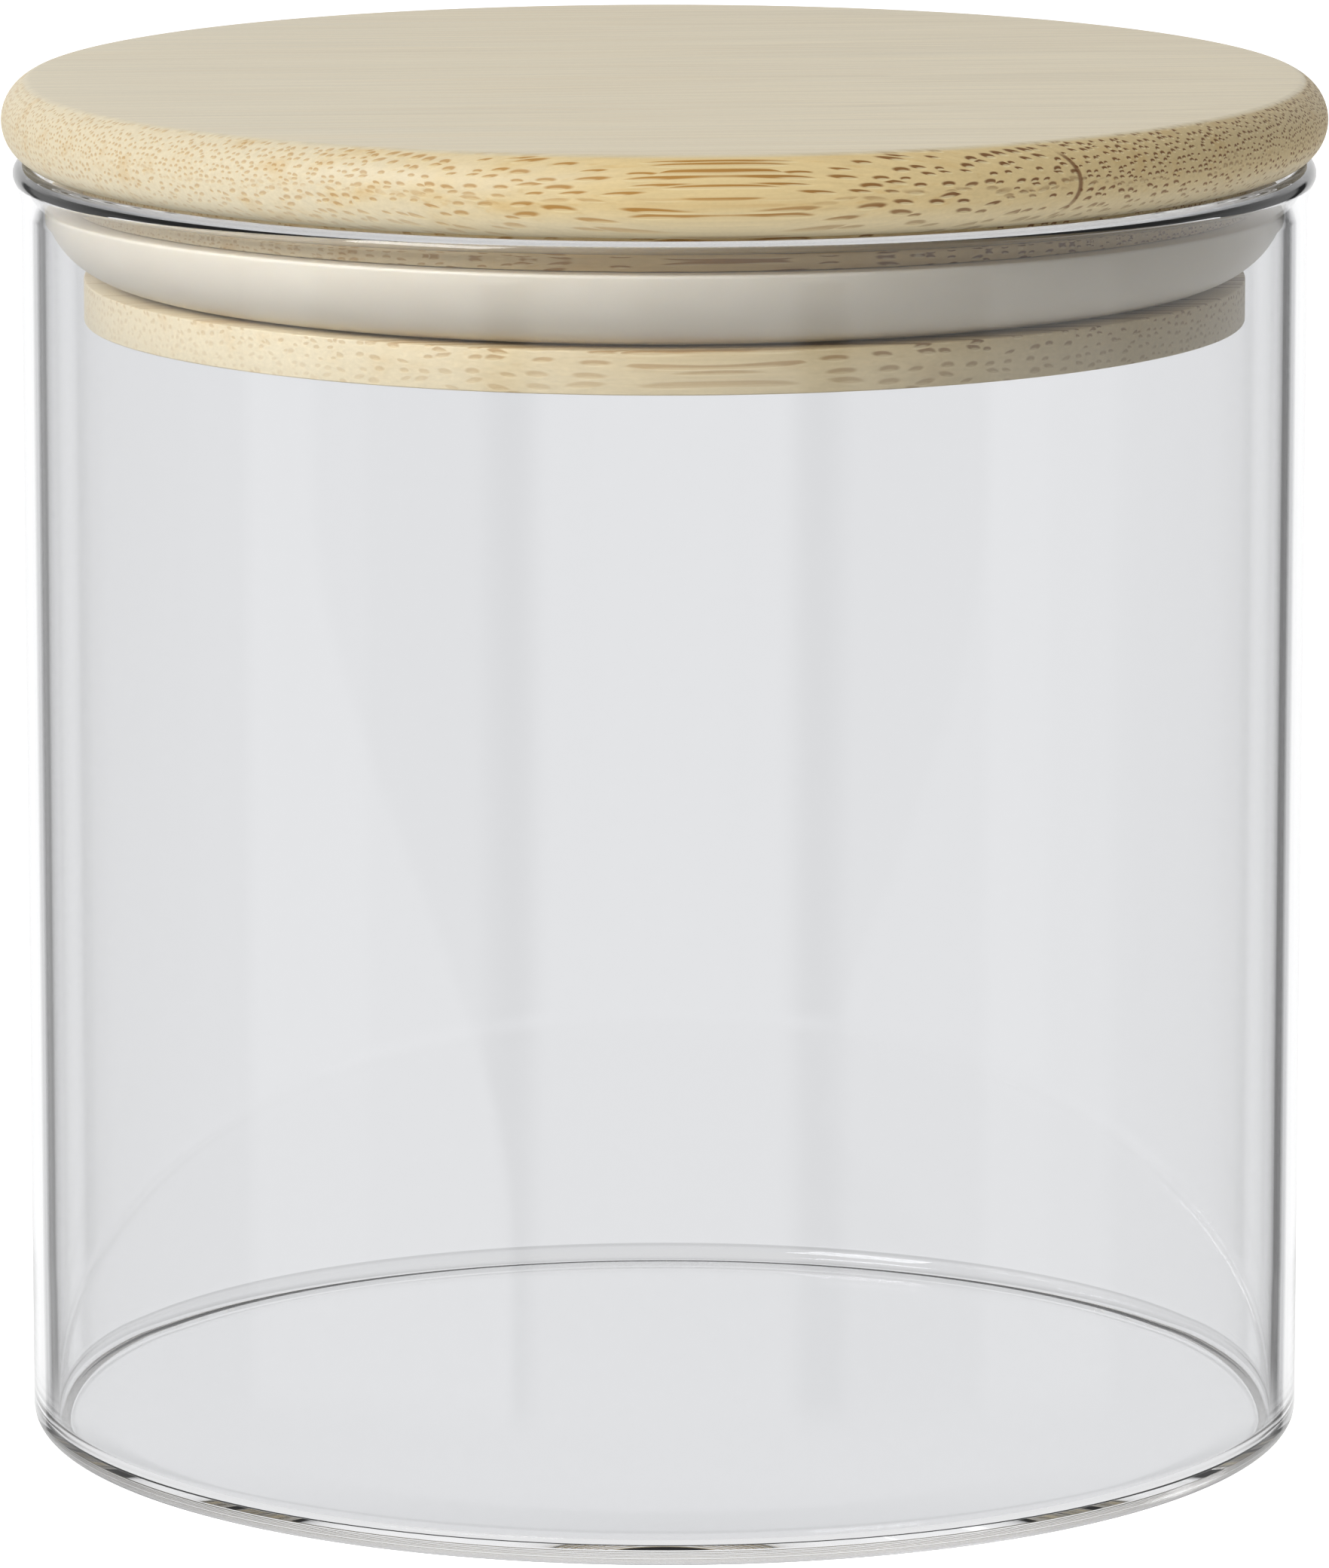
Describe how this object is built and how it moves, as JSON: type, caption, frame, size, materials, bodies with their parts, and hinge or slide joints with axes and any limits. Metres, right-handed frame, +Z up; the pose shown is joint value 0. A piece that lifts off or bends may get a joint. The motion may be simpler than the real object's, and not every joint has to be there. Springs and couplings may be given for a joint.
{
  "type": "lidded glass canister",
  "caption": "Cylindrical clear glass storage jar with a flat bamboo lid, whose plug carries a soft seal ring that grips the inside of the mouth.",
  "frame": {"origin": "middle of the base, on the surface that the jar stands on", "axes": "+Z up along the jar's axis, -Y towards the viewer's side; the lid's wood grain runs roughly along X"},
  "size_m": [0.103, 0.103, 0.1066],
  "materials": {
    "clear_glass": "clear, fire-polished, with a faint green edge",
    "bamboo_disc": "bamboo, fine-sanded, bare or lightly oiled",
    "bamboo_plug": "bamboo, turned, bare",
    "silicone": "satin off-white silicone"
  },
  "bodies": {
    "jar": {"glass_jar": "clear_glass"},
    "seal": {"seal_ring": "silicone"},
    "lid": {"lid_disc": "bamboo_disc", "lid_plug": "bamboo_plug"}
  },
  "joints": [
    {"name": "lid_lift", "type": "slide", "parent": "jar", "child": "seal", "axis": [0, 0, 1], "range_m": [0, 0.05]},
    {"name": "lid_turn", "type": "hinge", "parent": "seal", "child": "lid", "pos_m": [0, 0, 0.1], "axis": [0, 0, 1], "continuous": true}
  ]
}
